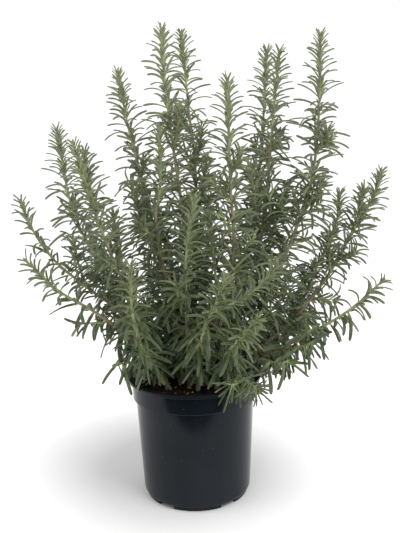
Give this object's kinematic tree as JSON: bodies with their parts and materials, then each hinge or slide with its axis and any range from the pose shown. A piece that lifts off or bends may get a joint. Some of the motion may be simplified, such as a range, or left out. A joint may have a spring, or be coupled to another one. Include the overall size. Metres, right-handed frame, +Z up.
{
  "type": "potted rosemary plant",
  "caption": "Bushy herb with upright and leaning leafy stems of narrow needle leaves, growing from potting mix in a round tapered nursery pot with a flanged lip.",
  "frame": {"origin": "centre of the pot's base, on the surface that the pot stands on", "axes": "+Z up along the pot's axis, +X to the right and -Y towards the viewer in the picture's view"},
  "size_m": [0.4213, 0.2771, 0.5251],
  "materials": {
    "pot": "gloss",
    "soil": "matte",
    "foliage": "matte"
  },
  "bodies": {
    "root": {"pot": "pot", "soil": "soil", "stem_tall_left": "foliage", "stem_tall_back_left": "foliage", "stem_left": "foliage", "stem_left_inner": "foliage", "stem_far_left": "foliage", "stem_front_left": "foliage", "stem_middle": "foliage", "stem_tall_back_right": "foliage", "stem_right_inner": "foliage", "stem_tall_right": "foliage", "stem_far_right": "foliage", "stem_right_back": "foliage", "stem_low_right": "foliage", "stem_low_left": "foliage", "stem_low_front_left": "foliage", "stem_short_left": "foliage", "stem_short_front": "foliage", "stem_short_right": "foliage", "stem_over_rim": "foliage", "stem_front": "foliage", "stem_back_left": "foliage", "stem_back": "foliage", "stem_back_right": "foliage", "stem_low_back_left": "foliage", "stem_low_back_right": "foliage", "stem_low_back": "foliage"}
  },
  "joints": []
}
